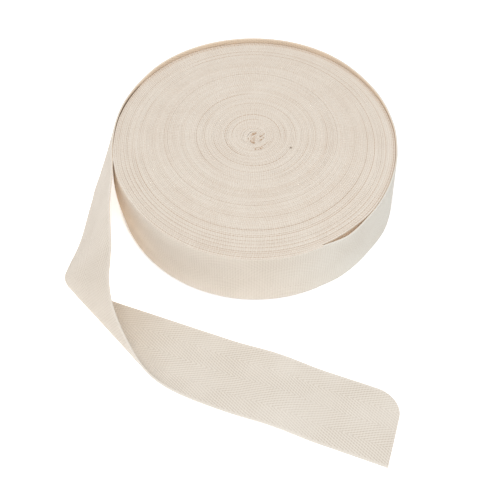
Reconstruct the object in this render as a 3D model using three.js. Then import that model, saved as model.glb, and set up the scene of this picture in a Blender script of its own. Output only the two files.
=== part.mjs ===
// A roll of cotton webbing lying on its flat end, with its loose end drawn out, folded under and laid flat.
// Millimetres, +Z up. The origin is on the floor, on the axis of the roll, and +Y points to the back.
import * as THREE from "three";

const WEBBING_WIDTH = 50;
const WEBBING_THICKNESS = 1.2;
const ROLL_RADIUS = 100;
const ROLL_HEIGHT = 51;
const GAP = 0.3;
const COTTON = 0xe0d3c2;

// Where the outermost turn comes away from the roll, and where it leaves it, as angles seen from above.
const LIFT_OFF = -63;
const LEAVE = 140;

// The roll is a spiral, so its outline steps in by one turn where the outermost turn comes away.
const STEP = WEBBING_THICKNESS + GAP;

// Rings of the end face: place as a share of the radius, and how far the turns there stand proud.
const FACE_RINGS = [
  { at: 0.03, rise: -1.0 },
  { at: 0.07, rise: -0.4 },
  { at: 0.1, rise: 0.3 },
  { at: 0.13, rise: 0.1 },
  { at: 0.197, rise: -0.2 },
  { at: 0.23, rise: 0.2 },
  { at: 0.285, rise: -0.3 },
  { at: 0.32, rise: 0.1 },
  { at: 0.355, rise: -0.2 },
  { at: 0.39, rise: 0.1 },
  { at: 0.52, rise: 0.3 },
  { at: 0.66, rise: 0.5 },
  { at: 0.79, rise: 0.6 },
  { at: 0.805, rise: -0.4 },
  { at: 0.82, rise: 0.3 },
  { at: 0.84, rise: 0.4 },
  { at: 0.855, rise: -0.3 },
  { at: 0.875, rise: 0.1 },
  { at: 0.9, rise: 0.4 },
  { at: 0.925, rise: -0.3 },
  { at: 0.937, rise: 0.2 },
  { at: 0.947, rise: -0.3 },
  { at: 0.965, rise: 0.2 },
];
const FACE_CENTRE_RISE = -1.2;
// The side bulges where the loose end leaves, most of all half way up. Levels are shares of the height.
const SIDE_BULGE = { at: 183, reach: 45, out: 2.6, height: 0.45, spread: 0.6 };
const SIDE_LEVELS = [0, 0.25, 0.5, 0.75, 1];
// The turns were wound off centre. At each share of the radius, this is how far their centre has moved.
const OFF_CENTRE = [
  { at: 0, moved: 4 },
  { at: 0.12, moved: 6.5 },
  { at: 0.25, moved: 7 },
  { at: 0.6, moved: 7.3 },
  { at: 0.7, moved: 5.5 },
  { at: 0.8, moved: 3.3 },
  { at: 0.9, moved: 1.5 },
  { at: 0.98, moved: 0 },
];
const OFF_CENTRE_TOWARDS = 101;

// The outermost turn: how far its upper edge stands off the roll, how much further its lower edge does, and
// how far the turn has slid up, at each angle.
const LOOSE_TURN = [
  { angle: -63, off: 0.0, flare: 0.0, slid: 0.4 },
  { angle: -52, off: 1.9, flare: -1.0, slid: 0.3 },
  { angle: -38, off: 0.4, flare: 0.6, slid: 0.4 },
  { angle: -20, off: 0.3, flare: 3.0, slid: 0.7 },
  { angle: -5, off: 0.7, flare: 2.6, slid: 1.2 },
  { angle: 10, off: 1.3, flare: 1.0, slid: 2.2 },
  { angle: 30, off: 1.6, flare: 0.0, slid: 3.4 },
  { angle: 60, off: 2.2, flare: 0.0, slid: 4.6 },
  { angle: 95, off: 2.1, flare: 0.0, slid: 4.6 },
  { angle: 125, off: 2.6, flare: 0.0, slid: 4.4 },
  { angle: 145, off: 2.3, flare: 0.4, slid: 3.9 },
];
const TURN_STEP = 5;

// The stretch between the roll and the fold. Each row is a line across the webbing.
const SPAN = [
  { low: [-99.5, 47, 3.5], high: [-90.5, 47.5, 52.8] },
  { low: [-111.4, 26, 3.5], high: [-98.4, 26, 51.8] },
  { low: [-117, 2, 3.5], high: [-101, 2, 50.5] },
  { low: [-120.4, -24, 3.6], high: [-99, -25, 48.3] },
  { low: [-124, -54, 3.8], high: [-98.6, -55, 44.8] },
];
const SPAN_STEPS = 4;

// The fold is part of a cone whose tip lies just past the lower edge. Its straight lines fan out from the
// tip, and each is named by its angle from the direction in which the flat end runs.
const FOLD = { tip: [-137, -88.2], tipBeyondEdge: 5, heading: -19.7, first: 92, last: 17, step: 3 };
const FOLD_BENDS = [
  { name: "fold under", at: 28.5, spread: 23, turn: 95 },
  { name: "lean", at: 55.5, spread: 76, turn: 54.5 },
];
const BEND_STEP = 0.5;

// The flat end, measured along the webbing from the tip of the fold. Its cut is a little slanted and its far
// corner is worn round.
const FLAT = { length: 252.5, steps: 22, cutSlant: 2, cornerAlong: 19, cornerAcross: 16 };
// A low hump lies askew across the flat end.
const HUMP = { at: 163, reach: 34, rise: 3, skew: 0.28 };

const ACROSS = 5;
const SECTORS = 72;

const radians = THREE.MathUtils.degToRad;

// Smooth rise and fall: 1 at the middle, 0 at a distance of reach and beyond.
function bump(x, middle, reach) {
  const t = Math.min(1, Math.abs(x - middle) / reach);
  return 0.5 + 0.5 * Math.cos(Math.PI * t);
}

// Value of a column of a table at a place between its rows, eased from row to row.
function eased(table, key, column, x) {
  let i = 0;
  while (i < table.length - 2 && x > table[i + 1][key]) i += 1;
  const from = table[i];
  const to = table[i + 1];
  const t = THREE.MathUtils.clamp((x - from[key]) / (to[key] - from[key]), 0, 1);
  return from[column] + (to[column] - from[column]) * THREE.MathUtils.smoothstep(t, 0, 1);
}

// Outline of the wound body: it grows by one turn on its way round from where the last turn lifts off.
function bodyRadius(angle) {
  const round = (angle - LIFT_OFF) / 360;
  return ROLL_RADIUS - STEP + STEP * round;
}

function polar(radius, angle, z) {
  return new THREE.Vector3(radius * Math.cos(radians(angle)), radius * Math.sin(radians(angle)), z);
}

// Collects triangles as points, which the loader merges where they meet.
class Surface {
  constructor() {
    this.points = [];
  }
  triangle(a, b, c) {
    for (const p of [a, b, c]) this.points.push(p.x, p.y, p.z);
  }
  quad(a, b, c, d) {
    this.triangle(a, b, c);
    this.triangle(a, c, d);
  }
  geometry() {
    const made = new THREE.BufferGeometry();
    made.setAttribute("position", new THREE.Float32BufferAttribute(this.points, 3));
    made.computeVertexNormals();
    return made;
  }
}

// The wound body: rings of its face from the centre out, the spiral outline, its side wall and its flat foot.
function woundRoll() {
  const made = new Surface();
  const angleOf = (j) => LIFT_OFF + (360 * j) / SECTORS;
  const centreAt = (at) => polar(eased(OFF_CENTRE, "at", "moved", at), OFF_CENTRE_TOWARDS, ROLL_HEIGHT);
  const ringPoint = (ring, j) =>
    polar((ROLL_RADIUS - STEP) * ring.at, angleOf(j % SECTORS), ring.rise).add(centreAt(ring.at));
  const sidePoint = (j, level) => {
    const around = bump(angleOf(j), SIDE_BULGE.at, SIDE_BULGE.reach);
    const upwards = bump(level, SIDE_BULGE.height, SIDE_BULGE.spread);
    return polar(bodyRadius(angleOf(j)) + SIDE_BULGE.out * around * upwards, angleOf(j), ROLL_HEIGHT * level);
  };
  const centre = centreAt(0);
  centre.z += FACE_CENTRE_RISE;
  const foot = new THREE.Vector3(0, 0, 0);
  const inner = FACE_RINGS[0];
  const outer = FACE_RINGS[FACE_RINGS.length - 1];
  for (let j = 0; j < SECTORS; j += 1) {
    made.triangle(centre, ringPoint(inner, j), ringPoint(inner, j + 1));
    for (let i = 0; i < FACE_RINGS.length - 1; i += 1) {
      const near = FACE_RINGS[i];
      const far = FACE_RINGS[i + 1];
      made.quad(ringPoint(near, j), ringPoint(far, j), ringPoint(far, j + 1), ringPoint(near, j + 1));
    }
    made.quad(sidePoint(j, 1), sidePoint(j + 1, 1), ringPoint(outer, j + 1), ringPoint(outer, j));
    for (let k = 0; k < SIDE_LEVELS.length - 1; k += 1) {
      const below = SIDE_LEVELS[k];
      const above = SIDE_LEVELS[k + 1];
      made.quad(sidePoint(j, below), sidePoint(j + 1, below), sidePoint(j + 1, above), sidePoint(j, above));
    }
    made.triangle(foot, sidePoint(j + 1, 0), sidePoint(j, 0));
  }
  // The radial step where the outline has grown by one turn, and the slivers of face and foot beside it.
  for (let k = 0; k < SIDE_LEVELS.length - 1; k += 1) {
    const below = SIDE_LEVELS[k];
    const above = SIDE_LEVELS[k + 1];
    made.quad(sidePoint(SECTORS, below), sidePoint(0, below), sidePoint(0, above), sidePoint(SECTORS, above));
  }
  made.triangle(sidePoint(SECTORS, 1), sidePoint(0, 1), ringPoint(outer, 0));
  made.triangle(foot, sidePoint(0, 0), sidePoint(SECTORS, 0));
  return made.geometry();
}

// A line across the webbing, from its lower edge to its upper edge. A line of the fold or the flat end also
// knows how far along the webbing its ends lie from the fold's tip, and how far across it the lower one lies.
function line(low, high, flat) {
  return { low, high, flat };
}

// How far the low hump lifts the point of a line that lies at a share of the way up it.
function humpRise({ flat }, share) {
  if (!flat) return 0;
  const s = THREE.MathUtils.lerp(flat.lowAlong, flat.highAlong, share);
  const w = THREE.MathUtils.lerp(flat.lowAcross, WEBBING_WIDTH, share);
  return HUMP.rise * bump(s - HUMP.skew * w, HUMP.at, HUMP.reach);
}

function turnLines() {
  const lines = [];
  for (let angle = LIFT_OFF + 0.5; angle <= LEAVE; angle += TURN_STEP) {
    const off = eased(LOOSE_TURN, "angle", "off", angle);
    const slid = eased(LOOSE_TURN, "angle", "slid", angle);
    const flare = eased(LOOSE_TURN, "angle", "flare", angle);
    const radius = bodyRadius(angle) + GAP + WEBBING_THICKNESS / 2 + off;
    lines.push(line(polar(radius + flare, angle, slid), polar(radius, angle, slid + WEBBING_WIDTH)));
  }
  return lines;
}

// Fans the lines of the fold out from its tip. It starts with the line nearest the flat end, which lies on
// the floor, and swings it step by step, turning the swing about the line itself by the bends it passes.
function foldLines() {
  const heading = radians(FOLD.heading);
  const acrossFlat = new THREE.Vector3(Math.sin(heading), -Math.cos(heading), 0);
  const tip = new THREE.Vector3(FOLD.tip[0], FOLD.tip[1], WEBBING_THICKNESS / 2);
  tip.addScaledVector(acrossFlat, -FOLD.tipBeyondEdge);
  const start = heading - radians(FOLD.last);
  const along = new THREE.Vector3(Math.cos(start), Math.sin(start), 0);
  const swing = new THREE.Vector3(Math.sin(start), -Math.cos(start), 0);
  const lines = [];
  for (let n = 0, angle = FOLD.last; angle <= FOLD.first; n += 1, angle += BEND_STEP) {
    if (n % (FOLD.step / BEND_STEP) === 0) {
      const near = FOLD.tipBeyondEdge;
      const far = FOLD.tipBeyondEdge + WEBBING_WIDTH;
      const reach = (distance) => tip.clone().addScaledVector(along, distance / Math.sin(radians(angle)));
      const slope = Math.tan(radians(angle));
      const flat = { lowAlong: near / slope, highAlong: far / slope, lowAcross: 0 };
      lines.push(line(reach(near), reach(far), flat));
    }
    const axis = along.clone().cross(swing);
    along.applyAxisAngle(axis, radians(BEND_STEP));
    swing.applyAxisAngle(axis, radians(BEND_STEP));
    const middle = angle + BEND_STEP / 2;
    for (const bend of FOLD_BENDS) {
      const turn = (2 * bend.turn * BEND_STEP * bump(middle, bend.at, bend.spread / 2)) / bend.spread;
      swing.applyAxisAngle(along, -radians(turn));
    }
  }
  return lines.reverse();
}

function spanLines(before, after) {
  const rows = SPAN.map((row) => line(new THREE.Vector3(...row.low), new THREE.Vector3(...row.high)));
  const knots = [...before.slice(-3), ...rows, ...after.slice(0, 3)];
  const curve = (edge) => new THREE.CatmullRomCurve3(knots.map((k) => k[edge]), false, "centripetal");
  const low = curve("low");
  const high = curve("high");
  const lines = [];
  const last = knots.length - 1;
  for (let n = 2 * SPAN_STEPS + 1; n < (last - 2) * SPAN_STEPS; n += 1) {
    const t = n / SPAN_STEPS / last;
    lines.push(line(low.getPoint(t), high.getPoint(t)));
  }
  return lines;
}

// The flat end: its lines turn from the slant of the fold's last line to the square cut.
function flatLines() {
  const heading = radians(FOLD.heading);
  const along = new THREE.Vector3(Math.cos(heading), Math.sin(heading), 0);
  const across = new THREE.Vector3(Math.sin(heading), -Math.cos(heading), 0);
  const place = (s, w) => {
    const p = new THREE.Vector3(FOLD.tip[0], FOLD.tip[1], WEBBING_THICKNESS / 2);
    return p.addScaledVector(along, s).addScaledVector(across, w);
  };
  const slant = 1 / Math.tan(radians(FOLD.last));
  const lowStart = FOLD.tipBeyondEdge * slant;
  const highStart = (FOLD.tipBeyondEdge + WEBBING_WIDTH) * slant;
  const lines = [];
  for (let n = 1; n <= FLAT.steps; n += 1) {
    const t = Math.sin((0.5 * Math.PI * n) / FLAT.steps);
    const low = THREE.MathUtils.lerp(lowStart, FLAT.length - FLAT.cutSlant, t);
    const high = THREE.MathUtils.lerp(highStart, FLAT.length, t);
    const past = Math.max(0, 1 - (FLAT.length - FLAT.cutSlant - low) / FLAT.cornerAlong);
    const cut = FLAT.cornerAcross * (1 - Math.sqrt(Math.max(0, 1 - past ** 2)));
    const flat = { lowAlong: low, highAlong: high, lowAcross: cut };
    lines.push(line(place(low, cut), place(high, WEBBING_WIDTH), flat));
  }
  return lines;
}

// The loose end: a sheet of even thickness laid on both sides of the surface that its lines sweep.
function looseEnd() {
  const turn = turnLines();
  const fold = foldLines();
  const lines = [...turn, ...spanLines(turn, fold), ...fold, ...flatLines()];
  const last = lines.length - 1;
  const mid = lines.map((one) =>
    Array.from({ length: ACROSS + 1 }, (_, j) => {
      const p = one.low.clone().lerp(one.high, j / ACROSS);
      p.z += humpRise(one, j / ACROSS);
      return p;
    }),
  );
  const side = (sign) =>
    mid.map((row, i) =>
      row.map((p, j) => {
        const forward = mid[Math.min(i + 1, last)][j].clone().sub(mid[Math.max(i - 1, 0)][j]);
        const upward = row[Math.min(j + 1, ACROSS)].clone().sub(row[Math.max(j - 1, 0)]);
        const outward = forward.cross(upward).normalize();
        return p.clone().addScaledVector(outward, (sign * WEBBING_THICKNESS) / 2);
      }),
    );
  const outer = side(1);
  const inner = side(-1);
  const made = new Surface();
  for (let i = 0; i < last; i += 1) {
    for (let j = 0; j < ACROSS; j += 1) {
      made.quad(outer[i][j], outer[i + 1][j], outer[i + 1][j + 1], outer[i][j + 1]);
      made.quad(inner[i][j], inner[i][j + 1], inner[i + 1][j + 1], inner[i + 1][j]);
    }
    made.quad(inner[i][0], inner[i + 1][0], outer[i + 1][0], outer[i][0]);
    made.quad(outer[i][ACROSS], outer[i + 1][ACROSS], inner[i + 1][ACROSS], inner[i][ACROSS]);
  }
  for (let j = 0; j < ACROSS; j += 1) {
    made.quad(inner[0][j], outer[0][j], outer[0][j + 1], inner[0][j + 1]);
    made.quad(outer[last][j], inner[last][j], inner[last][j + 1], outer[last][j + 1]);
  }
  return made.geometry();
}

function cotton() {
  return new THREE.MeshStandardMaterial({ color: COTTON, roughness: 0.95, metalness: 0 });
}

function named(name, geometry) {
  const mesh = new THREE.Mesh(geometry, cotton());
  mesh.name = name;
  return mesh;
}

const roll = new THREE.Group();
roll.add(named("wound_roll", woundRoll()));
roll.add(named("loose_end", looseEnd()));

export default roll;
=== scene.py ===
"""A roll of undyed cotton webbing in a herringbone twill, lying on its flat end.

Its outermost turn has come loose at the front right, runs round the back, leaves the roll at the left, folds
under and lies flat towards the front right. Shapes are worked out in millimetres with numpy and put into
meshes in metres. The origin is on the floor, on the axis of the roll, and angles are seen from above.
"""

import bpy
import numpy as np
from mathutils import Matrix, Vector


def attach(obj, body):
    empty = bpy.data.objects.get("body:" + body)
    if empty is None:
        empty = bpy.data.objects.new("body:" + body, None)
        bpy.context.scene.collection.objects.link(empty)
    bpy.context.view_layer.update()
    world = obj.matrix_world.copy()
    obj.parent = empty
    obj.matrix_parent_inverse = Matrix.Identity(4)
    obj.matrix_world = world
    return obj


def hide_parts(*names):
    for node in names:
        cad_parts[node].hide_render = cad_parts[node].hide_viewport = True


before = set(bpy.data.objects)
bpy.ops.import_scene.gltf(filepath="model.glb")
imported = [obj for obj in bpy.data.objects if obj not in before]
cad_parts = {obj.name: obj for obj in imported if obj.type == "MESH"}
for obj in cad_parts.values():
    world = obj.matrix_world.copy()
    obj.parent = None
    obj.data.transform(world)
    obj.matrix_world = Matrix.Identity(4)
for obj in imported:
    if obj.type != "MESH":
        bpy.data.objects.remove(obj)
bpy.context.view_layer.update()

MM = 0.001

# The webbing and the roll wound from it, in millimetres.
WIDTH = 50.0
THICKNESS = 1.2
ROLL_RADIUS = 100.0
ROLL_HEIGHT = 51.0
GAP = 0.3  # between the wound body and the loose turn where it starts
LIFT_OFF = -63.0  # degrees: where the outermost turn comes away
SELVEDGE_ROUND = 0.6  # how far in from its edge the webbing rounds over

# The turns of the roll. The last one is loose, so the wound body ends one turn inside it.
TURNS = 83
FIRST_TURN = 1
SPLIT_TURN = 50  # the body is two solids, which meet in the groove of this turn
OUTER_SLACK = 0.4  # the last turns lie a little further apart
SLACK_GROWTH = 4.0  # each turn has this many times the slack of the one inside it
SETTLED_TURNS = 9  # the last turns lie further apart where the body leans out
FOLDED_TURNS = 9  # the first turns are creased
ROWS_A_TURN = {True: 4, False: 2}  # rows of points in a turn's thickness, on the upper and the lower face
HEM = 0.0001  # share of a turn: a strip beside each end, so that its flat face doesn't bend the shading

# Rings of the end face: place as a share of the radius, and how far the turns there stand proud.
FACE_RINGS = np.array([
    (0.00, -1.2), (0.03, -1.0), (0.07, -0.4), (0.10, 0.3), (0.13, 0.1), (0.197, -0.1), (0.23, 0.2),
    (0.285, 0.0), (0.32, 0.1), (0.355, 0.0), (0.39, 0.1), (0.52, 0.3), (0.66, 0.4), (0.79, 0.4),
    (0.805, 0.2), (0.82, 0.3), (0.84, 0.3), (0.855, 0.15), (0.875, 0.2), (0.90, 0.3), (0.925, 0.2),
    (0.937, 0.2), (0.947, 0.1), (0.965, 0.1), (1.00, -0.5),
])
# The turns were wound off centre: share of the radius, and how far their centre has moved.
OFF_CENTRE = np.array([
    (0.0, 4), (0.12, 6.5), (0.25, 7), (0.6, 7.3), (0.7, 5.5), (0.8, 3.3), (0.9, 1.5), (0.98, 0), (1.1, 0),
])
OFF_CENTRE_TOWARDS = 101
SIDE_BULGE = {"at": 183, "reach": 45, "out": 2.6, "height": 0.45, "spread": 0.6}
BULGE_POWER = 12  # the faces take part in the bulge by this power of the share of the radius
# Shares of the height for the rows of the side. The ones close to both rims round the edges over.
SIDE_LEVELS = np.array([
    0.0, 0.004, 0.012, *np.linspace(0.04, 0.96, 13), 0.972, 0.98, 0.988, 0.994, 0.998, 1.0,
])

# The outermost turn: angle, how far its upper edge stands off the roll, how much further its lower edge does,
# and how far it has slid up.
LOOSE_TURN = np.array([
    (-63, 0.0, 0.0, 0.4), (-52, 1.9, -1.0, 0.3), (-38, 0.4, 0.6, 0.4), (-20, 0.3, 3.0, 0.7),
    (-5, 0.7, 2.6, 1.2), (10, 1.3, 1.0, 2.2), (30, 1.6, 0.0, 3.4), (60, 2.2, 0.0, 4.6),
    (95, 2.1, 0.0, 4.6), (125, 2.6, 0.0, 4.4), (145, 2.3, 0.4, 3.9),
])
TURN_KNOTS = np.array([127.5, 132.5, 137.5])  # angles of its last lines, from which the next stretch goes on

# The wound body leans out towards the loose turn. Past the last row above, the webbing leaves the roll, and
# the body still leans out a little: angle, how far.
LEAVING = np.array([(145, 2.4), (152, 1.9), (165, 1.5), (179, 0.75), (187, 0.9), (194, 0.8), (215, 0.0)])
LEAN_SPARE = 0.12  # what stays free between the leaning body and the loose turn
LEAN_FROM_FOOT = 0.3  # share of the height over which the lean grows
# The slit that stays open at the top, where the webbing comes away. Angles are counted from there: the body
# has leaned out below it at the first, and it closes from the second on. Levels are shares of the height.
SLIT = {"leaned": 6, "closing": 16, "closes_over": 11, "level": 0.95, "eased_over": 0.04}

# The stretch between the roll and the fold: lower edge and upper edge of lines across the webbing.
SPAN = np.array([
    [(-99.5, 47, 3.5), (-90.5, 47.5, 52.8)],
    [(-111.4, 26, 3.5), (-98.4, 26, 51.8)],
    [(-117, 2, 3.5), (-101, 2, 50.5)],
    [(-120.4, -24, 3.6), (-99, -25, 48.3)],
    [(-124, -54, 3.8), (-98.6, -55, 44.8)],
])
SPAN_STEPS = 16

# The fold is part of a cone whose tip lies just past the lower edge. Its lines fan out from the tip, between
# the angles first and last, and the first few, so many degrees apart, are knots of the stretch before it.
FOLD = {"tip": (-137, -88.2), "beyond": 5, "heading": -19.7, "first": 92, "last": 17, "knots": 3}
# Bends of the fold: where in the fan, how many degrees of it each takes, and how far it turns.
FOLD_BENDS = [
    {"at": 28.5, "spread": 23, "turn": 95},
    {"at": 55.5, "spread": 76, "turn": 54.5},
]
BEND_STEP = 0.25
# The flat end, from the tip of the fold: its length, how far its cut slants, and its worn corner.
FLAT = {"length": 252.5, "cut_slant": 2, "corner_along": 19, "corner_across": 16}
FLAT_LINES = 110
HUMP = {"at": 163, "reach": 34, "rise": 3, "skew": 0.28}  # a low hump that lies askew across the flat end
FLAT_BEGINS = (20, 60)  # the webbing comes to lie flat between these places along it
FLAT_LIFT = 0.35  # how far the middle of the flat end lifts off the floor, in waves
WAVE_ALONG, WAVE_ACROSS = 13, 21  # how far along and across the webbing the waves go on by a radian
BOUNCE_LIGHT_ENDS = (-10, 20)  # the side that faces the roll has painted tan bounce light up to here along the webbing

# Ripples of the webbing before it lies flat: height, and length and seed at its upper and lower edge.
RIPPLE_HEIGHT = 0.10
RIPPLE_ABOVE = {"length": 9, "seed": 3}
RIPPLE_BELOW = {"length": 11, "seed": 4}
RIPPLE_ON_TURN = 0.2  # share of the height that the loose turn has
# The ripples set in over the first length, and past the length of the loose turn they grow over the last one.
RIPPLE_SETS_IN, LOOSE_TURN_LENGTH, RIPPLE_GROWS = 20, 360, 40

EDGE_PLACES = np.array([0.0, 0.08, 0.3, 0.6])  # points across the webbing where its edge rounds over
INNER_PLACES = {"from": 1.6, "count": 34}  # and the even ones between


def bump(x, middle, reach):
    """Smooth rise and fall: 1 at the middle, 0 at a distance of reach and beyond."""
    t = np.minimum(1.0, np.abs(x - middle) / reach)
    return 0.5 + 0.5 * np.cos(np.pi * t)


def smooth(t):
    """Cubic ease from 0 to 1, held outside that range."""
    t = np.clip(t, 0, 1)
    return t * t * (3 - 2 * t)


def window(x, start, rise, end, fall):
    """1 between two places, eased in over the rise past the start, and out over the fall past the end."""
    return smooth((x - start) / rise) * (1 - smooth((x - end) / fall))


def eased(table, column, x):
    """Value of a column of a table at x, eased from row to row. The first column holds the places."""
    places = table[:, 0]
    i = np.clip(np.searchsorted(places, x) - 1, 0, len(places) - 2)
    t = smooth((x - places[i]) / (places[i + 1] - places[i]))
    return table[i, column] + (table[i + 1, column] - table[i, column]) * t


def noise(x, seed):
    """Smooth noise of unit size along x: seeded values at whole numbers, eased from one to the next."""
    values = np.random.default_rng(seed).normal(size=4096)
    i = np.floor(x).astype(int)
    t = smooth(x - i)
    return values[i % 4096] * (1 - t) + values[(i + 1) % 4096] * t


def polar(radius, degrees, z):
    """Points at a radius, an angle seen from above and a height."""
    a = np.radians(degrees)
    return np.stack([radius * np.cos(a), radius * np.sin(a), z + 0 * a], -1)


def cells(grid):
    """The four corners of each cell of a grid, in order round it."""
    return np.stack([grid[:-1, :-1], grid[:-1, 1:], grid[1:, 1:], grid[1:, :-1]], 2)


def make_piece(name, points, faces, corner_uvs, materials, nodes, tones, material_of_face):
    """Puts points in millimetres and faces into a mesh object at the origin, with its UV map and attributes.

    Faces come in blocks. A block that is a single polygon closes an end, and is shaded flat.
    """
    used, compact = np.unique(np.concatenate([np.ravel(f) for f in faces]), return_inverse=True)
    lists, soft, start = [], [], 0
    for block in faces:
        block = np.atleast_2d(block)
        lists += compact[start:start + block.size].reshape(block.shape).tolist()
        soft += [len(block) > 1] * len(block)
        start += block.size
    mesh = bpy.data.meshes.new(name)
    mesh.from_pydata((points[used] * MM).tolist(), [], lists)
    mesh.polygons.foreach_set("use_smooth", np.array(soft))
    layer = mesh.uv_layers.new(name="webbing")
    corners = np.concatenate([np.reshape(block, (-1, 2)) for block in corner_uvs])
    layer.data.foreach_set("uv", (corners * MM).astype(np.float32).ravel())
    for key, values in tones.items():
        layer = mesh.attributes.new(key, "FLOAT", "POINT")
        layer.data.foreach_set("value", values[used].astype(np.float32))
    for material in materials:
        mesh.materials.append(material)
    mesh.polygons.foreach_set("material_index", material_of_face.astype(np.int32))
    mesh.update()
    mesh.validate()
    made = bpy.data.objects.new(name, mesh)
    bpy.context.scene.collection.objects.link(made)
    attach(made, "root")
    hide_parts(*nodes)
    return made


class Graph:
    """Short ways to add and join the nodes of one material."""

    def __init__(self, name):
        self.material = bpy.data.materials.new(name)
        self.material.use_nodes = True
        self.tree = self.material.node_tree
        self.shader = self.tree.nodes["Principled BSDF"]

    def node(self, kind, inputs=None, **settings):
        made = self.tree.nodes.new(kind)
        for key, value in settings.items():
            setattr(made, key, value)
        for key, value in (inputs or {}).items():
            self.put(made.inputs[key], value)
        return made

    def put(self, socket, value):
        if isinstance(value, bpy.types.NodeSocket):
            self.tree.links.new(value, socket)
        else:
            socket.default_value = value

    def math(self, operation, a, b=0.0, c=0.0):
        return self.node("ShaderNodeMath", {0: a, 1: b, 2: c}, operation=operation).outputs[0]

    def wave(self, place, period):
        """Sine of a place, once a period."""
        return self.math("SINE", self.math("MULTIPLY", place, float(2 * np.pi / period)))

    def ramp(self, value, low, high, start=0.0, end=1.0):
        inputs = {0: value, 1: low, 2: high, 3: start, 4: end}
        return self.node("ShaderNodeMapRange", inputs, interpolation_type="SMOOTHSTEP").outputs[0]

    def zone(self, place, rise, fall, strength):
        """The strength between a rise and a fall, each eased between two places in millimetres."""
        eased_in = self.ramp(place, rise[0] * MM, rise[1] * MM, 0.0, strength)
        return self.math("MULTIPLY", eased_in, self.ramp(place, fall[0] * MM, fall[1] * MM, 1.0, 0.0))

    def mix(self, share, a, b):
        """Mixes two colours. Sockets 6 and 7 of the node are its colours, and output 2 is the mixed one."""
        made = self.node("ShaderNodeMix", data_type="RGBA")
        self.put(made.inputs[0], share)
        self.put(made.inputs[6], a)
        self.put(made.inputs[7], b)
        return made.outputs[2]

    def noise(self, where, scale, detail=2.0, roughness=0.5):
        inputs = {"Vector": where, "Scale": scale, "Detail": detail, "Roughness": roughness}
        return self.node("ShaderNodeTexNoise", inputs).outputs["Fac"]

    def attribute(self, name):
        return self.node("ShaderNodeAttribute", attribute_name=name).outputs["Fac"]


COTTON = (0.775, 0.705, 0.617, 1)
COTTON_PALE = (0.78, 0.75, 0.69, 1)
# painted shade in the hollows of the weave, at the foot of the roll and along the fold; it also darkens fluff
# and stains
COTTON_SHADE_AND_STAIN = (0.47, 0.385, 0.295, 1)
# painted shade in the grooves between the turns; it also takes their random mottle, grain and threads
COTTON_TAN = (0.50, 0.345, 0.23, 1)
# painted tan bounce light, where webbing faces webbing close by
COTTON_BOUNCE_LIGHT = (0.90, 0.74, 0.575, 1)
# painted cool light from the right, on the loose turn
COTTON_COOL_LIGHT = (0.66, 0.655, 0.60, 1)
SEED_BROWN = (0.16, 0.10, 0.055, 1)
ROUGHNESS = 0.92
SHEEN = 0.1
SHEEN_ROUGHNESS = 0.5
SPECULAR = 0.2
RELIEF = 0.3  # mm, how high the fine relief of the cotton is

# The weave, in millimetres: four columns of ribs that lean from the webbing's length, and picks along it.
COLUMNS = 4
RIB_PITCH = 1.6
RIB_LEAN = 25
RIB_WANDER = 1.4
RIB_SHARE = 0.68  # of the relief, and the picks have the rest
PICK = 1.8
# Distance from the middle line, in millimetres: where the plain selvedge begins, and its pale rim.
SELVEDGE = (23.2, 23.8)
RIM = (24.0, 24.9)
# Tones that change along the webbing, at places from the tip of the fold, in millimetres: painted light that
# makes the cut end paler, painted cool light from the right on the loose turn, and painted shade along the
# fold.
PAINTED_LIGHT_END = (20, 120)
PAINTED_COOL_LIGHT = {"rise": (-575, -490), "fall": (-360, -260), "strength": 0.6}
FOLD_SHADE = {"rise": (-30, 25), "fall": (50, 100), "strength": 0.13}
# The foot of the roll is shaded at the left. This fades out up the side, and grows along the webbing.
FOOT_SHADE = {"across": (8, 24), "along": (-620, -680), "strength": 0.5}
# Noises of the materials: swings a metre, detail and roughness.
TEXTURES = {
    "rib wander": (60, 4.0, 0.6), "fluff": (1500, 2.0), "hollow shade": (38, 2.0), "stain": (26, 3.0),
    "flecks": (620, 1.0), "thread wander": (130, 2.0), "grain": (1100, 3.0, 0.6), "mottle": (55, 3.0),
    "floor": (6, 3.0),
}
# The turns side by side, in millimetres: threads that cross their edges, and beads in the grooves.
THREAD = 1.5
THREAD_WANDER = 3.0
BEAD = 2.6


def finish_cotton(graph, colour, height, strength):
    """Joins colour and relief to the shader, with the soft sheen of cotton."""
    shader = graph.shader
    graph.put(shader.inputs["Base Color"], colour)
    shader.inputs["Roughness"].default_value = ROUGHNESS
    shader.inputs["Sheen Weight"].default_value = SHEEN
    shader.inputs["Sheen Roughness"].default_value = SHEEN_ROUGHNESS
    shader.inputs["Specular IOR Level"].default_value = SPECULAR
    inputs = {"Height": height, "Strength": strength, "Distance": RELIEF * MM}
    graph.put(shader.inputs["Normal"], graph.node("ShaderNodeBump", inputs).outputs[0])


def flecks(graph, where, colour):
    """Sparse tiny brown flecks of seed, where a fine noise peaks."""
    peak = graph.ramp(graph.noise(where, *TEXTURES["flecks"]), 0.80, 0.84)
    return graph.mix(graph.math("MULTIPLY", peak, 0.55), colour, SEED_BROWN)


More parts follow.
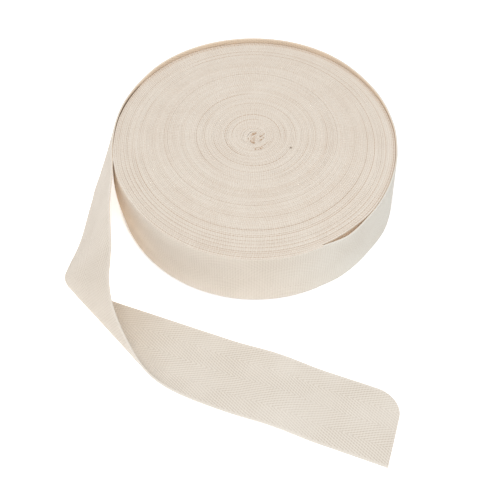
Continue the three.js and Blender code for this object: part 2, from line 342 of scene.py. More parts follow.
def herringbone():
    """Twill whose fine ribs lean from the webbing's length and turn about from column to column.

    A rib's place is across * cos(lean) + turn * along * sin(lean), plus a small wander, where turn is 1 or -1
    for every other column. Its height is the sine of pi times that place over the pitch, without sign, and
    the picks are a sine along the webbing. The hollows between the ribs have painted shade, unevenly, and
    random fluff and stains darken the cotton too. Plain selvedges with a pale rim border it. The UV map holds
    along and across in metres. A mesh attribute is high where the webbing faces more webbing close by, and
    mixes in painted tan bounce light there. Painted light makes it paler towards the cut end, painted cool
    light from the right falls where the loose turn starts, and it has painted shade along the fold and at the
    foot of the roll at the left.
    """
    graph = Graph("herringbone cotton")
    uv = graph.node("ShaderNodeUVMap", uv_map="webbing").outputs[0]
    along, across, _ = graph.node("ShaderNodeSeparateXYZ", {0: uv}).outputs
    rib_lean = np.radians(RIB_LEAN)
    column = graph.math("FLOOR", graph.math("DIVIDE", across, WIDTH * MM / COLUMNS))
    turn = graph.math("MULTIPLY_ADD", graph.math("FLOORED_MODULO", column, 2.0), -2.0, 1.0)
    wander = graph.math("MULTIPLY", graph.noise(uv, *TEXTURES["rib wander"]), RIB_WANDER * MM)
    slope = graph.math("MULTIPLY", graph.math("MULTIPLY", along, float(np.sin(rib_lean))), turn)
    place = graph.math("ADD", graph.math("MULTIPLY_ADD", across, float(np.cos(rib_lean)), slope), wander)
    rib = graph.math("ABSOLUTE", graph.wave(place, 2 * RIB_PITCH * MM))
    pick = graph.math("MULTIPLY_ADD", graph.wave(along, PICK * MM), 0.5, 0.5)
    off_centre = graph.math("ABSOLUTE", graph.math("SUBTRACT", across, WIDTH * MM / 2))
    selvedge = graph.ramp(off_centre, SELVEDGE[0] * MM, SELVEDGE[1] * MM)
    body = graph.math("MULTIPLY_ADD", rib, RIB_SHARE, graph.math("MULTIPLY", pick, 1 - RIB_SHARE))
    edge = graph.math("MULTIPLY_ADD", pick, 0.4, 0.6)
    height = graph.node("ShaderNodeMix", {0: selvedge, 2: body, 3: edge}, data_type="FLOAT").outputs[0]

    fluff = graph.noise(uv, *TEXTURES["fluff"])
    uneven_hollows = graph.ramp(graph.noise(uv, *TEXTURES["hollow shade"]), 0.35, 0.65, 0.55, 1.0)
    # Painted shade in the hollows between the ribs, stronger or weaker with a noise.
    hollow = graph.math("MULTIPLY", graph.ramp(height, 0.8, 0.15), uneven_hollows)
    stain = graph.ramp(graph.noise(uv, *TEXTURES["stain"]), 0.3, 0.7, 0.0, 0.09)
    share = graph.math("MULTIPLY_ADD", hollow, 0.5, graph.math("MULTIPLY_ADD", fluff, 0.12, stain))
    # Painted light: the flat cut end is paler.
    pale = graph.ramp(along, PAINTED_LIGHT_END[0] * MM, PAINTED_LIGHT_END[1] * MM, 0.0, 0.35)
    colour = graph.mix(pale, COTTON, COTTON_PALE)
    # Painted cool light from the right, where the loose turn starts.
    colour = graph.mix(graph.zone(along, **PAINTED_COOL_LIGHT), colour, COTTON_COOL_LIGHT)
    # Painted tan bounce light where webbing faces webbing close by.
    colour = graph.mix(graph.attribute("bounce_light"), colour, COTTON_BOUNCE_LIGHT)
    colour = graph.mix(share, colour, COTTON_SHADE_AND_STAIN)
    low, high = FOOT_SHADE["across"]
    foot = graph.ramp(across, low * MM, high * MM, FOOT_SHADE["strength"], 0.0)
    low, high = FOOT_SHADE["along"]
    foot = graph.math("MULTIPLY", foot, graph.ramp(along, low * MM, high * MM))
    shaded = graph.math("ADD", foot, graph.zone(along, **FOLD_SHADE))
    colour = graph.mix(shaded, colour, COTTON_SHADE_AND_STAIN)
    colour = graph.mix(graph.ramp(off_centre, RIM[0] * MM, RIM[1] * MM, 0.0, 0.25), colour, COTTON_PALE)
    relief = graph.math("MULTIPLY_ADD", fluff, 0.35, height)
    finish_cotton(graph, flecks(graph, uv, colour), relief, 0.6)
    return graph.material


def turn_edges():
    """The selvedges of the turns side by side: tan in the grooves, with threads that cross each turn's edge.

    The groove attribute holds painted shade, in tan, for the grooves. The threads, and the beads that make
    the grooves uneven, are sines of the place along the webbing, so they fall anew on every turn. The
    attributes groove, shade and speck come with the mesh; shade is a tone that differs at random from turn to
    turn.
    """
    graph = Graph("selvedges of the turns")
    uv = graph.node("ShaderNodeUVMap", uv_map="webbing").outputs[0]
    place = graph.node("ShaderNodeTexCoord").outputs["Object"]
    groove, shade, speck = (graph.attribute(name) for name in ("groove", "shade", "speck"))
    along, _, _ = graph.node("ShaderNodeSeparateXYZ", {0: uv}).outputs
    wander = graph.math("MULTIPLY", graph.noise(place, *TEXTURES["thread wander"]), THREAD_WANDER * MM)
    wound = graph.math("ADD", along, wander)
    threads = graph.wave(wound, THREAD * MM)
    beads = graph.wave(wound, BEAD * MM)
    grain = graph.noise(place, *TEXTURES["grain"])
    mottle = graph.ramp(graph.noise(place, *TEXTURES["mottle"]), 0.3, 0.7, 0.03, 0.10)
    fine = graph.math("MULTIPLY_ADD", threads, -0.11, graph.ramp(grain, 0.6, 0.3, 0.0, 0.18))
    # The groove attribute is painted shade, in tan, broken up by the beads.
    groove = graph.math("MULTIPLY", groove, graph.math("MULTIPLY_ADD", beads, 0.45, 1.0))
    fine = graph.math("MULTIPLY_ADD", shade, 0.03, fine)
    share = graph.math("ADD", graph.math("ADD", groove, mottle), fine)
    share = graph.math("MINIMUM", graph.math("MAXIMUM", share, 0.0), 1.0)
    colour = graph.mix(share, COTTON, COTTON_TAN)
    colour = graph.mix(speck, flecks(graph, place, colour), SEED_BROWN)
    finish_cotton(graph, colour, graph.math("MULTIPLY_ADD", threads, 0.5, grain), 0.5)
    return graph.material


HERRINGBONE = herringbone()
TURN_EDGES = turn_edges()


def turn_lines(angles):
    """Lower and upper edge of the outermost turn at these angles, off the spiral outline of the body."""
    off, flare, slid = (eased(LOOSE_TURN, column, angles) for column in (1, 2, 3))
    step = THICKNESS + GAP
    body = ROLL_RADIUS - step + step * (angles - LIFT_OFF) / 360
    radius = body + GAP + THICKNESS / 2 + off
    return polar(radius + flare, angles, slid), polar(radius, angles, slid + WIDTH)


def fold_lines():
    """Straight lines that fan out from the tip of the fold, as (angle, lower edge, upper edge).

    A unit vector along the first line swings round by the step, and the plane it swings in turns about the
    line itself by the bends that it passes. A point of a line lies at its distance across over the sine of
    its angle from the tip.
    """
    heading, step = np.radians(FOLD["heading"]), np.radians(BEND_STEP)
    across_flat = np.array([np.sin(heading), -np.cos(heading), 0])
    tip = np.array([*FOLD["tip"], THICKNESS / 2]) - across_flat * FOLD["beyond"]
    start = heading - np.radians(FOLD["last"])
    along = np.array([np.cos(start), np.sin(start), 0])
    swing = np.array([np.sin(start), -np.cos(start), 0])
    angles = np.arange(FOLD["last"], FOLD["first"] + BEND_STEP / 2, BEND_STEP)
    directions = []
    for angle in angles:
        directions.append(along)
        ahead = along * np.cos(step) + swing * np.sin(step)
        along, swing = ahead, swing * np.cos(step) - along * np.sin(step)
        for bend in FOLD_BENDS:
            share = bump(angle + BEND_STEP / 2, bend["at"], bend["spread"] / 2)
            turn = np.radians(2 * bend["turn"] * BEND_STEP * share / bend["spread"])
            swing = swing * np.cos(turn) - np.cross(along, swing) * np.sin(turn)
    reach = np.array(directions) / np.sin(np.radians(angles))[:, None]
    low = tip + reach * FOLD["beyond"]
    high = tip + reach * (FOLD["beyond"] + WIDTH)
    return angles[::-1], low[::-1], high[::-1]


def through(knots, steps):
    """Centripetal Catmull-Rom curve through the knots, from the third to the third last, ends left out."""
    p = [knots[i:len(knots) - 3 + i] for i in range(4)]
    gaps = [np.linalg.norm(p[i + 1] - p[i], axis=-1, keepdims=True) ** 0.5 for i in range(3)]
    leave = (p[1] - p[0]) / gaps[0] - (p[2] - p[0]) / (gaps[0] + gaps[1]) + (p[2] - p[1]) / gaps[1]
    arrive = (p[2] - p[1]) / gaps[1] - (p[3] - p[1]) / (gaps[1] + gaps[2]) + (p[3] - p[2]) / gaps[2]
    leave, arrive = leave * gaps[1], arrive * gaps[1]
    t = (np.arange(steps) / steps)[None, :, None]
    a, b, v, w = (x[:, None, :] for x in (p[1], p[2], leave, arrive))
    curve = a + v * t + (3 * (b - a) - 2 * v - w) * t ** 2 + (2 * (a - b) + v + w) * t ** 3
    return curve[1:-1].reshape(-1, 3)[1:]


def flat_place(s, w):
    """Point of the flat end at s along it from the tip and w across it."""
    heading = np.radians(FOLD["heading"])
    x = FOLD["tip"][0] + s * np.cos(heading) + w * np.sin(heading)
    y = FOLD["tip"][1] + s * np.sin(heading) - w * np.cos(heading)
    return np.stack([x, y, np.full_like(x, THICKNESS / 2)], -1)


def loose_end_lines():
    """All lines across the webbing, from where it comes away to its cut end.

    Returns the lower and upper ends of the lines as points, and as (along, across) on the webbing laid flat,
    with along measured from the tip of the fold. The lines of the flat end close up towards the cut.
    """
    every_degree = np.arange(LIFT_OFF + 1, TURN_KNOTS[-1])
    turn = turn_lines(np.concatenate([[LIFT_OFF, LIFT_OFF + 360 * HEM], every_degree, TURN_KNOTS[-1:]]))
    fold_angles, *fold = fold_lines()
    every = round(FOLD["knots"] / BEND_STEP)
    last_of_turn = turn_lines(TURN_KNOTS)
    first_of_fold = [edge[:2 * every + 1:every] for edge in fold]
    knots = [np.concatenate([last_of_turn[k], SPAN[:, k], first_of_fold[k]]) for k in (0, 1)]
    span = [through(k, SPAN_STEPS) for k in knots]

    slant = 1 / np.tan(np.radians(FOLD["last"]))
    starts = FOLD["beyond"] * slant, (FOLD["beyond"] + WIDTH) * slant
    t = np.sin(np.linspace(0, np.pi / 2, FLAT_LINES + 1)[1:])
    low_s = starts[0] + (FLAT["length"] - FLAT["cut_slant"] - starts[0]) * t
    high_s = starts[1] + (FLAT["length"] - starts[1]) * t
    past = np.maximum(0, 1 - (FLAT["length"] - FLAT["cut_slant"] - low_s) / FLAT["corner_along"])
    cut = FLAT["corner_across"] * (1 - np.sqrt(np.maximum(0, 1 - past ** 2)))
    flat = flat_place(low_s, cut), flat_place(high_s, np.full_like(high_s, WIDTH))

    low, high = (np.concatenate([turn[k], span[k], fold[k], flat[k]]) for k in (0, 1))
    cot = 1 / np.tan(np.radians(fold_angles))
    before = len(turn[0]) + len(span[0])
    middles = (low + high)[:before + 1] / 2
    steps = np.linalg.norm(np.diff(middles, axis=0), axis=1)
    back = np.cumsum(steps[::-1])[::-1]
    middle_s = cot[0] * (FOLD["beyond"] + WIDTH / 2) - back
    low_s = np.concatenate([middle_s, cot * FOLD["beyond"], low_s])
    high_s = np.concatenate([middle_s, cot * (FOLD["beyond"] + WIDTH), high_s])
    low_w = np.concatenate([np.zeros(before + len(cot)), cut])
    high_w = np.full_like(low_w, WIDTH)
    return low, high, np.stack([low_s, low_w], -1), np.stack([high_s, high_w], -1)


def loose_end():
    """The loose end as one closed sheet, with rounded selvedges.

    Each line is divided into points, and a low hump lies askew across its flat end. Slight ripples run along
    the webbing up to the fold, and past it the middle lifts off the floor in waves. Both skins lie half a
    thickness along the surface's normal from the points, and the half thickness follows a quarter circle near
    each edge, so the skins meet there.
    """
    low, high, low_flat, high_flat = loose_end_lines()
    inner_places = np.linspace(INNER_PLACES["from"], WIDTH - INNER_PLACES["from"], INNER_PLACES["count"])
    places = np.concatenate([EDGE_PLACES, inner_places, WIDTH - EDGE_PLACES[::-1]])
    share = (places / WIDTH)[None, :, None]
    middle = low[:, None] * (1 - share) + high[:, None] * share
    flat = low_flat[:, None] * (1 - share) + high_flat[:, None] * share
    s, w = flat[..., 0], flat[..., 1]
    middle[..., 2] += HUMP["rise"] * bump(s - HUMP["skew"] * w, HUMP["at"], HUMP["reach"])
    outward = np.cross(np.gradient(middle, axis=0), (high - low)[:, None])
    outward /= np.linalg.norm(outward, axis=-1, keepdims=True)
    inset = np.minimum(1, np.minimum(places, WIDTH - places) / SELVEDGE_ROUND)
    half = THICKNESS / 2 * np.sqrt(1 - (1 - inset) ** 2)[None, :, None]

    above = noise(s / RIPPLE_ABOVE["length"], RIPPLE_ABOVE["seed"]) * (w / WIDTH)
    below = noise(s / RIPPLE_BELOW["length"], RIPPLE_BELOW["seed"]) * (1 - w / WIDTH)
    lying = smooth((s - FLAT_BEGINS[0]) / (FLAT_BEGINS[1] - FLAT_BEGINS[0]))
    from_start = s - s[0, 0]
    grown = RIPPLE_ON_TURN * smooth(from_start / RIPPLE_SETS_IN)
    grown = grown + (1 - RIPPLE_ON_TURN) * smooth((from_start - LOOSE_TURN_LENGTH) / RIPPLE_GROWS)
    middle = middle + outward * (RIPPLE_HEIGHT * (above + below) * (1 - lying) * grown)[..., None]
    waves = 1 + np.sin(s / WAVE_ALONG + w / WAVE_ACROSS)
    middle[..., 2] += lying * FLAT_LIFT * waves * bump(w, WIDTH / 2, WIDTH / 2)

    outer, inner = middle + outward * half, middle - outward * half
    ring = np.concatenate([outer, inner[:, -2:0:-1]], axis=1)
    ring[..., 2] = np.maximum(ring[..., 2], 0.0)
    uv = np.concatenate([flat, flat[:, -2:0:-1]], axis=1)
    # Painted tan bounce light on the side that faces the roll, up to just past the fold.
    facing_roll = np.concatenate([np.zeros(outer.shape[1]), np.ones(inner.shape[1] - 2)])
    past_fold = smooth((uv[..., 0] - BOUNCE_LIGHT_ENDS[0]) / (BOUNCE_LIGHT_ENDS[1] - BOUNCE_LIGHT_ENDS[0]))
    bounce_light = facing_roll[None, :] * (1 - past_fold)
    rows, around = ring.shape[:2]
    index = np.arange(rows * around).reshape(rows, around)
    beside = np.roll(index, -1, axis=1)
    quads = np.stack([index[:-1], index[1:], beside[1:], beside[:-1]], -1).reshape(-1, 4)
    faces = [quads, index[0], index[-1, ::-1]]
    uv = uv.reshape(-1, 2)
    made = make_piece("loose_end_webbing", ring.reshape(-1, 3), faces, [uv[block] for block in faces],
                      [HERRINGBONE], ["loose_end"], {"bounce_light": bounce_light.ravel()},
                      np.zeros(len(quads) + 2))
    return made, low_flat[0, 0], low_flat[-1, 0] - low_flat[0, 0]


def turn_radius(t):
    """Radius of the spiral after t turns, one thickness a turn, with the last turns a little slack."""
    return THICKNESS * t + OUTER_SLACK * SLACK_GROWTH ** (t - TURNS)


# The start of the winding is pressed into an oval: the share of x and y that is added to x, and to y.
PRESSED_RADIUS = 11.0
PRESSED = np.array([(-0.30, 0.25), (0.10, 0.25)])
# Small pits between its folds: place, size and depth in mm.
PITS = np.array([
    (-0.6, 8.9, 0.8, 1.2), (-1.6, 8.0, 0.7, 1.0), (0.6, 9.4, 0.6, 0.8), (-2.2, 7.2, 0.5, 0.6),
    (-1.9, 0.8, 0.7, 0.9), (-0.8, 0.2, 0.8, 1.1), (-3.0, 1.8, 0.5, 0.6), (-4.6, 3.8, 0.5, 0.5),
    (4.1, 6.0, 0.6, 1.0), (5.2, 6.9, 0.5, 0.8), (6.4, 8.0, 0.5, 0.7), (5.0, 3.2, 0.6, 0.9),
    (4.2, 2.4, 0.5, 0.7), (6.2, 4.4, 0.5, 0.6), (3.4, 1.2, 0.5, 0.5), (0.6, -6.6, 0.6, 0.9),
    (4.2, -5.8, 0.7, 0.9), (5.4, -5.2, 0.5, 0.6), (2.4, -6.6, 0.5, 0.6), (-8.2, 6.4, 0.5, 0.4),
    (9.6, -1.6, 0.5, 0.5), (11.0, 0.6, 0.5, 0.4), (-5.8, 1.0, 0.5, 0.4),
])
# Dark flecks of seed caught in the face: place in mm, radius in mm, darkness.
SEEDS = np.array([
    (25.5, -5.0, 0.8, 0.9), (-56.0, 28.0, 0.6, 0.35), (-55.0, 14.0, 0.7, 0.3), (-31.0, 93.0, 0.7, 0.5),
])
# Places where neighbouring turns gape and the groove between them is deep and has more painted shade, in tan:
# radius in mm, angles from and to, and how strongly they show.
GAPING = np.array([
    (12.0, -100, -20, 0.8), (14.8, 60, 200, 0.6), (19.7, -20, 270, 0.75), (23.4, -25, 45, 0.5),
    (26.0, -125, -80, 0.5), (28.2, -180, -24, 0.7), (30.6, -10, 140, 0.7), (34.8, 140, 330, 0.5),
    (39.0, -78, 0, 0.6), (40.5, 85, 245, 0.5), (43.6, -82, -25, 0.5), (52.8, -30, 30, 0.4),
    (57.5, 150, 200, 0.4), (61.0, -100, -60, 0.4), (70.0, 40, 120, 0.35),
    (80.3, -180, 28, 0.6), (81.4, 140, 180, 0.5), (83.6, -150, -20, 0.4), (85.0, -180, 132, 1.0),
    (87.2, -180, -60, 0.9), (88.7, 15, 130, 0.8), (89.9, -170, 20, 0.45), (91.0, 120, 200, 0.6),
    (92.4, -180, 45, 0.3), (93.6, -160, -90, 0.45), (94.6, -180, -20, 0.5), (95.0, 150, 190, 0.6),
    (96.2, -130, -50, 0.45), (96.8, 40, 150, 0.5), (97.4, -60, 50, 0.6), (98.3, -150, -60, 0.8),
])
GAPING_EASE = 0.06  # of a turn, over which a gaping groove opens and closes
GAPING_DEPTH = 0.2
# painted shade, in tan, in a gaping groove
GAPING_PAINTED_SHADE = 0.6
SLOPE_PAINTED_SHADE = 0.32  # painted shade: how tan the slope beyond a gaping groove is, at the back of the roll
SLOPE_PART = 0.25  # where in a turn's thickness that slope lies
GROOVE_DEPTH = 0.32
# Painted shade, in tan: in every groove, more in the creased ones, and in the pits.
GROOVE_PAINTED_SHADE = 0.16
CREASED_PAINTED_SHADE = 0.3
PIT_PAINTED_SHADE = 1.15
RIM_PAINTED_SHADE = 0.2  # painted shade: how tan the last turns are where the loose turn covers them
RIM_FROM, RIM_EASE = 0.955, 0.04  # shares of the radius
# Angles between which the loose turn covers the rim, which gets painted shade, then the side, which gets
# painted tan bounce light, and between which the side shows, with what each eases in over from its start and
# out over from its end.
RIM_COVERED = {"start": -45, "rise": 30, "end": 160, "fall": 30}
SIDE_COVERED = {"start": LIFT_OFF, "rise": 6, "end": 185, "fall": 45}
SIDE_SHOWS = {"start": 190, "rise": 20, "end": LIFT_OFF + 350, "fall": 10}
# Towards the last turn the ridges, and the slack, come to lie even: turns before it, and over how many.
RIDGES_EVEN, SLACK_EVEN, EVEN_OVER = 0.6, 1, 2
UNDERSIDE_LIFT = 0.25  # how far the turns stand off the floor
# The slack between turns, and how much more of it there is in the creased ones: swings a turn, strength.
SLACK, CREASED_SLACK, SLACK_SEED = (3, 0.11), (3, 0.25), 11
# Other unevenness along the webbing: swings a turn, strength and seed.
NOISES = {
    "groove depth": (2.5, 0.10, 12), "ridge height": (4, 0.08, 13), "slow ridge height": (0.9, 0.05, 14),
    "underside": (4, 0.12, 15), "groove tan": (2.5, 0.08, 16), "shade": (1.7, 1.0, 17),
    "creased ridge height": (9, 0.35, 18), "side": (40, 0.06, 21),
}


def uneven(tape, kind, low=-np.inf, high=np.inf):
    """Noise of a kind at a place along the webbing, held between low and high times its strength.

    The noise is the smooth one above, at the place in turns times the swings a turn.
    """
    swings, strength, seed = NOISES[kind]
    return strength * np.clip(noise(tape * swings, seed), low, high)


def side_bulge(angle, level):
    """How far the side bulges at an angle and a share of its height, as the product of two smooth bumps."""
    around = bump(angle, SIDE_BULGE["at"], SIDE_BULGE["reach"])
    return SIDE_BULGE["out"] * around * bump(level, SIDE_BULGE["height"], SIDE_BULGE["spread"])


def lean(angle, level):
    """How far the wound body leans out at a share of its height, nearly up to the loose turn that covers it.

    The lean grows from the foot up. Where the webbing comes away, it is eased in at once below the slit, and
    only some way on at the height of the slit, which stays open till then.
    """
    off, flare = (eased(LOOSE_TURN, column, angle) for column in (1, 2))
    reach = np.maximum(0, GAP + off + flare * (1 - level) - LEAN_SPARE)
    reach = np.where(angle < LEAVING[0, 0], reach, eased(LEAVING, 1, angle))
    from_start = angle - LIFT_OFF
    below_slit = smooth(from_start / SLIT["leaned"]) * smooth((SLIT["level"] - level) / SLIT["eased_over"])
    past_slit = smooth((from_start - SLIT["closing"]) / SLIT["closes_over"])
    return reach * smooth(level / LEAN_FROM_FOOT) * np.maximum(past_slit, below_slit)


def gaping_at(tape):
    """How strongly the groove gapes at a place along the webbing: the strongest of eased windows along it."""
    gaping = np.zeros_like(tape)
    for radius, begin, end, strength in GAPING:
        share = (begin - LIFT_OFF) % 360 / 360
        start = np.round(radius / THICKNESS - share) + share
        length = (end - begin) / 360
        ends = smooth((tape - start) / GAPING_EASE) * smooth((start + length - tape) / GAPING_EASE)
        gaping = np.maximum(gaping, strength * ends)
    return gaping


def spots(points, table, power):
    """Sum of round spots: each is its last value times exp(-(distance / size) ** power)."""
    total = np.zeros(points.shape[:-1])
    for x, y, size, strength in table:
        away = np.hypot(points[..., 0] - x, points[..., 1] - y)
        total += strength * np.exp(-(away / size) ** power)
    return total


def face(per_turn, first, last, shares, upper):
    """Grid of an end face on the spiral, as points, UVs of its quads' corners, and attributes.

    A row is one place in the thickness of a turn, and a column a share of the way round. Each turn's edge is
    a rounded ridge between two grooves, and stands a little proud or low with a noise that runs along the
    webbing. Painted shade, in tan, lies in every groove, more in a gaping groove, which is also deeper, and
    at the back on the slope beyond it. The start of the winding is creased, pressed into an oval and pitted,
    with more painted shade in its grooves and in the pits. The last turns lean out with the side, and have
    painted shade, in tan, where the loose turn covers them. The UVs are the length of webbing wound so far,
    pi * thickness * turns squared, and the place in the turn's thickness.
    """
    rows = np.arange((last + 1 - first) * per_turn + 1)
    part = (rows % per_turn / per_turn)[:, None] + np.zeros((1, len(shares)))
    t = first + rows[:, None] / per_turn + shares[None, :]
    tape = t - part
    angle = np.broadcast_to(LIFT_OFF + 360 * shares, t.shape)
    gaping = gaping_at(tape)
    # Painted shade, in tan, on the slope beyond a gaping groove, at the back of the roll.
    slope_shade = SLOPE_PAINTED_SHADE * gaping * (part == SLOPE_PART) * smooth(np.sin(np.radians(angle)))
    gaping = gaping * (part == 0)
    creased = smooth((FOLDED_TURNS - t) / FOLDED_TURNS)
    slack = noise(tape * (SLACK[0] + CREASED_SLACK[0] * creased), SLACK_SEED)
    slack = slack * smooth((TURNS - SLACK_EVEN - t) / EVEN_OVER)
    radius = turn_radius(t) + (SLACK[1] + CREASED_SLACK[1] * creased) * slack
    at = radius / ROLL_RADIUS
    groove = np.abs(2 * part - 1) ** 3
    depth = GROOVE_DEPTH + uneven(tape, "groove depth", -2, 2) + GAPING_DEPTH * gaping
    if upper:
        proud = uneven(tape, "ridge height") + uneven(tape, "slow ridge height")
        proud = proud * smooth((TURNS - RIDGES_EVEN - t) / EVEN_OVER)
        proud = proud + creased * uneven(tape, "creased ridge height")
        z = ROLL_HEIGHT + np.interp(at, *FACE_RINGS.T) + proud - groove * depth
    else:
        z = UNDERSIDE_LIFT + uneven(tape, "underside", -2, 2) + groove * depth
    leaning = lean(angle, float(upper)) * smooth((t - TURNS + 1 + SETTLED_TURNS) / SETTLED_TURNS)
    points = polar(radius + leaning, angle, z)
    points += polar(side_bulge(angle, float(upper)) * at ** BULGE_POWER, angle, 0.0)
    pressed = 1 - smooth(radius / PRESSED_RADIUS)
    points[..., :2] += pressed[..., None] * (points[..., :2] @ PRESSED.T)
    points += polar(eased(OFF_CENTRE, 1, at), np.full_like(at, OFF_CENTRE_TOWARDS), 0.0)
    pit, speck = (spots(points, PITS, 2), spots(points, SEEDS, 4)) if upper else (0 * z, 0 * z)
    points[..., 2] -= pit
    # The groove tone is painted shade, in tan: in the grooves, on the slope at the back, in the pits and on
    # the rim under the loose turn.
    tan = GROOVE_PAINTED_SHADE + uneven(tape, "groove tan", -1.5, 2.5) + GAPING_PAINTED_SHADE * gaping + CREASED_PAINTED_SHADE * creased
    rim_shade = RIM_PAINTED_SHADE * smooth((at - RIM_FROM) / RIM_EASE) * window(angle, **RIM_COVERED)
    tones = {
        "groove": np.clip(groove * tan + slope_shade + PIT_PAINTED_SHADE * pit + rim_shade, 0, 1),
        "shade": uneven(tape, "shade"),
        "speck": np.clip(speck, 0, 1),
        "bounce_light": np.zeros_like(z),
    }
    ridge = first + (rows[:-1] // per_turn)[:, None] + np.append(shares, 1.0)[None, :]
    along = np.pi * THICKNESS * ridge ** 2
    inner = THICKNESS * part[:-1]
    corner_along = np.stack([along[:, :-1], along[:, :-1], along[:, 1:], along[:, 1:]], -1)
    corner_across = np.stack([inner, inner + THICKNESS / per_turn] * 2, -1)[..., [0, 1, 3, 2]]
    return points, np.stack([corner_along, corner_across], -1).reshape(-1, 4, 2), tones


def side(bottom, top, start, shares):
    """Grid of the wound side between the lower and the upper rim, as points, UVs and warmth.

    The side bulges where the loose end leaves, leans out where the loose turn covers it, and has painted
    tan bounce light there. Where it shows, it is slightly uneven. The UVs run back along the webbing from
    where the loose turn starts, and up from its lower edge.
    """
    t = (TURNS - 1 + np.append(shares, 1.0))[None, :]
    angle = LIFT_OFF + 360 * (t - TURNS + 1)
    level = SIDE_LEVELS[:, None]
    z = bottom[None, :, 2] * (1 - level) + top[None, :, 2] * level
    showing = window(angle, **SIDE_SHOWS)
    radius = turn_radius(t) + side_bulge(angle, level) + uneven(t - TURNS + 1, "side") * showing
    points = polar(radius + lean(angle, level), angle, z)
    steps = np.linalg.norm(np.diff(points[len(SIDE_LEVELS) // 2], axis=0), axis=1)
    length = np.append(np.cumsum(steps[::-1])[::-1], 0.0)
    uv = np.stack([np.broadcast_to(start - length, z.shape), z - LOOSE_TURN[0, 3]], -1)
    # Painted tan bounce light where the loose turn covers the side.
    covered = window(angle, **SIDE_COVERED)
    return points, uv, np.broadcast_to(covered, z.shape)


def body_solid(name, first, last, columns, outermost):
    """One closed solid of the wound body, from turn first to turn last.

    The upper and the lower face are grids on the spiral: past its last column, a row goes on as the row one
    turn further out, at the first column. A side wall joins them outside and inside, and a narrow face closes
    the step that the spiral leaves at its first column.
    """
    shares = np.concatenate([[0.0, HEM], np.arange(1, columns - 2) / (columns - 2), [1 - HEM]])
    blocks, uvs, tones, faces = [], [], [], []
    which = []  # the material of each face
    chains = {}  # rows of points along the outer and inner rim, and across the step at the first column
    count = 0
    for upper in (True, False):
        per_turn = ROWS_A_TURN[upper]
        points, uv, tone = face(per_turn, first, last, shares, upper)
        rows = len(points)
        index = count + np.arange(rows * columns).reshape(rows, columns)
        # After the last column comes the first one, one turn further out.
        wide = np.concatenate([index[:-per_turn], index[per_turn:, :1]], axis=1)
        quads = np.stack([wide[:-1, :-1], wide[1:, :-1], wide[1:, 1:], wide[:-1, 1:]], -1).reshape(-1, 4)
        faces.append(quads if upper else quads[:, ::-1])
        uv = uv[:len(quads)]
        uvs.append(uv if upper else uv[:, ::-1])
        which.append(np.zeros(len(quads)))
        chains[upper] = {
            "outer": wide[-1], "inner": wide[0],
            "outer step": index[-per_turn - 1:, 0], "inner step": index[:per_turn + 1, 0],
        }
        blocks.append(points.reshape(-1, 3))
        tones.append({k: v.ravel() for k, v in tone.items()})
        count += rows * columns

    everything = np.concatenate(blocks)
    top, bottom = chains[True], chains[False]
    if outermost:
        rims = everything[bottom["outer"]], everything[top["outer"]]
        points, uv, bounce_light = side(*rims, LOOSE_START, shares)
        rows = len(SIDE_LEVELS) - 2
        index = count + np.arange(rows * (columns + 1)).reshape(rows, columns + 1)
        wall = np.concatenate([bottom["outer"][None], index, top["outer"][None]])
        blocks.append(points[1:-1].reshape(-1, 3))
        # The side's painted bounce light goes in its attribute, and the other tones are nought there.
        tones.append({k: bounce_light[1:-1].ravel() if k == "bounce_light" else np.zeros(index.size) for k in tones[0]})
    else:
        wall = np.stack([bottom["outer"], top["outer"]])
        uv = np.zeros((*wall.shape, 2))
    quads = cells(wall).reshape(-1, 4)
    faces.append(quads)
    uvs.append(cells(uv))
    which.append(np.ones(len(quads)))
    step = [wall[:, 0], top["outer step"][1:-1], wall[::-1, -1], bottom["outer step"][-2:0:-1]]
    faces.append(np.concatenate(step))
    which.append(np.zeros(1))
    if first > FIRST_TURN:
        wall = np.stack([top["inner"], bottom["inner"]])
        quads = cells(wall).reshape(-1, 4)
        faces.append(quads)
        which.append(np.zeros(len(quads)))
        faces.append(np.concatenate([wall[:, 0], bottom["inner step"][1:], top["inner step"][:0:-1]]))
        which.append(np.zeros(1))
    else:
        faces.append(np.concatenate([top["inner"], top["inner step"][-2:0:-1]]))
        faces.append(np.concatenate([bottom["inner"], bottom["inner step"][-2:0:-1]])[::-1])
        which.append(np.zeros(2))
    uvs += [np.zeros((*np.shape(block), 2)) for block in faces[len(uvs):]]
    joined = {k: np.concatenate([t[k] for t in tones]) for k in tones[0]}
    return make_piece(name, np.concatenate(blocks), faces, uvs, [TURN_EDGES, HERRINGBONE],
                      ["wound_roll"], joined, np.concatenate(which))


loose, LOOSE_START, loose_length = loose_end()
inner_turns = body_solid("inner_turns", FIRST_TURN, SPLIT_TURN, columns=264, outermost=False)
outer_turns = body_solid("outer_turns", SPLIT_TURN, TURNS - 1, columns=400, outermost=True)


FLOOR_PALE = (0.94, 0.94, 0.94, 1)
FLOOR_MOTTLE = (0.88, 0.88, 0.88, 1)
FLOOR_HALF = 4.0  # metres
# How brightly the floor glows to the left and to the right of the roll, and between which places it changes.
GLOW = {"left": 0.46, "right": 0.2, "from": 60, "to": 110}
# It glows more between the roll and the loose end, and not at all under the roll.
GLOW_BETWEEN = {"rise": (-140, -118), "fall": (-92, -65), "strength": 0.17}
GLOW_RADIUS = (98, 103)


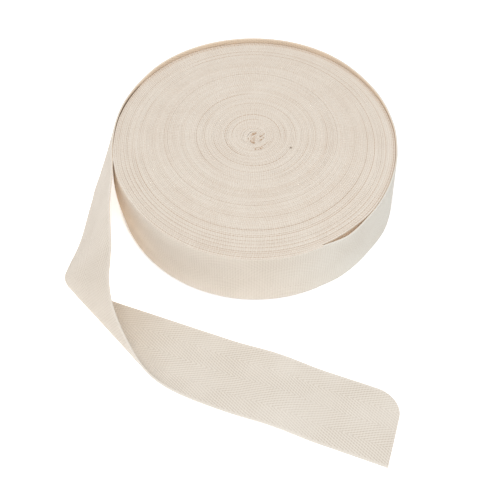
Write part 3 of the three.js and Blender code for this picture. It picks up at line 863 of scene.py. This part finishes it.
def floor():
    """A plain pale floor, wide enough for any view, which glows faintly round the roll."""
    graph = Graph("pale floor")
    where = graph.node("ShaderNodeTexCoord").outputs["Object"]
    mottle = graph.ramp(graph.noise(where, *TEXTURES["floor"]), 0.3, 0.7, 0.0, 0.02)
    graph.put(graph.shader.inputs["Base Color"], graph.mix(mottle, FLOOR_PALE, FLOOR_MOTTLE))
    graph.shader.inputs["Roughness"].default_value = 0.9
    graph.shader.inputs["Emission Color"].default_value = (1.0, 1.0, 1.0, 1)
    x, y, _ = graph.node("ShaderNodeSeparateXYZ", {0: where}).outputs
    away = graph.math("SQRT", graph.math("MULTIPLY_ADD", x, x, graph.math("MULTIPLY", y, y)))
    glow = graph.ramp(x, GLOW["from"] * MM, GLOW["to"] * MM, GLOW["left"], GLOW["right"])
    glow = graph.math("ADD", glow, graph.zone(x, **GLOW_BETWEEN))
    glow = graph.math("MULTIPLY", glow, graph.ramp(away, GLOW_RADIUS[0] * MM, GLOW_RADIUS[1] * MM))
    graph.put(graph.shader.inputs["Emission Strength"], glow)
    corners = [(a * FLOOR_HALF, b * FLOOR_HALF, 0) for a, b in ((-1, -1), (1, -1), (1, 1), (-1, 1))]
    mesh = bpy.data.meshes.new("floor")
    mesh.from_pydata(corners, [], [(0, 1, 2, 3)])
    mesh.materials.append(graph.material)
    made = bpy.data.objects.new("floor", mesh)
    bpy.context.scene.collection.objects.link(made)


def area_light(name, place, target, size, power, colour):
    """A square soft light at a place in metres, aimed at a target."""
    data = bpy.data.lights.new(name, "AREA")
    data.size, data.energy, data.color = size, power, colour
    made = bpy.data.objects.new(name, data)
    made.location = place
    made.rotation_euler = (Vector(target) - Vector(place)).to_track_quat("-Z", "Y").to_euler()
    bpy.context.scene.collection.objects.link(made)


STUDIO_COLOUR = (0.97, 0.98, 1.0, 1)
STUDIO_STRENGTH = 0.75
# The camera: its place in millimetres, how far it looks down, its tilt, and its sensor and lens.
CAMERA = {"place": (-2.6, -423.6, 534.3), "pitch": 55.62, "roll": 0.6, "sensor": 36.0, "lens": 64.8}


def camera():
    """The photograph's camera, worked out from the ellipses of the roll's rim and foot."""
    pitch, roll = np.radians(CAMERA["pitch"]), np.radians(CAMERA["roll"])
    ahead = np.array([0, np.cos(pitch), -np.sin(pitch)])
    right, up = np.array([1.0, 0, 0]), np.array([0, np.sin(pitch), np.cos(pitch)])
    right, up = right * np.cos(roll) + up * np.sin(roll), up * np.cos(roll) - right * np.sin(roll)
    data = bpy.data.cameras.new("camera")
    data.sensor_width, data.lens = CAMERA["sensor"], CAMERA["lens"]
    made = bpy.data.objects.new("camera", data)
    matrix = np.eye(4)
    matrix[:3] = np.stack([right, up, -ahead, np.array(CAMERA["place"]) * MM], axis=1)
    made.matrix_world = Matrix(matrix.tolist())
    bpy.context.scene.collection.objects.link(made)
    bpy.context.scene.camera = made


floor()
area_light("key", (0.1, -0.4, 1.45), (0, -0.08, 0), size=1.1, power=9.4, colour=(1.0, 0.99, 0.97))
area_light("fill", (-0.75, -1.0, 0.45), (0, -0.03, 0), size=1.0, power=0.7, colour=(1.0, 0.99, 0.98))
area_light("side window", (1.2, 0.25, 0.35), (0.1, 0, 0.03), size=0.8, power=0.5, colour=(0.3, 0.7, 1.0))
camera()
world = bpy.data.worlds.new("studio")
world.use_nodes = True
world.node_tree.nodes["Background"].inputs["Color"].default_value = STUDIO_COLOUR
world.node_tree.nodes["Background"].inputs["Strength"].default_value = STUDIO_STRENGTH
bpy.context.scene.world = world
bpy.context.scene.view_settings.view_transform = "Standard"
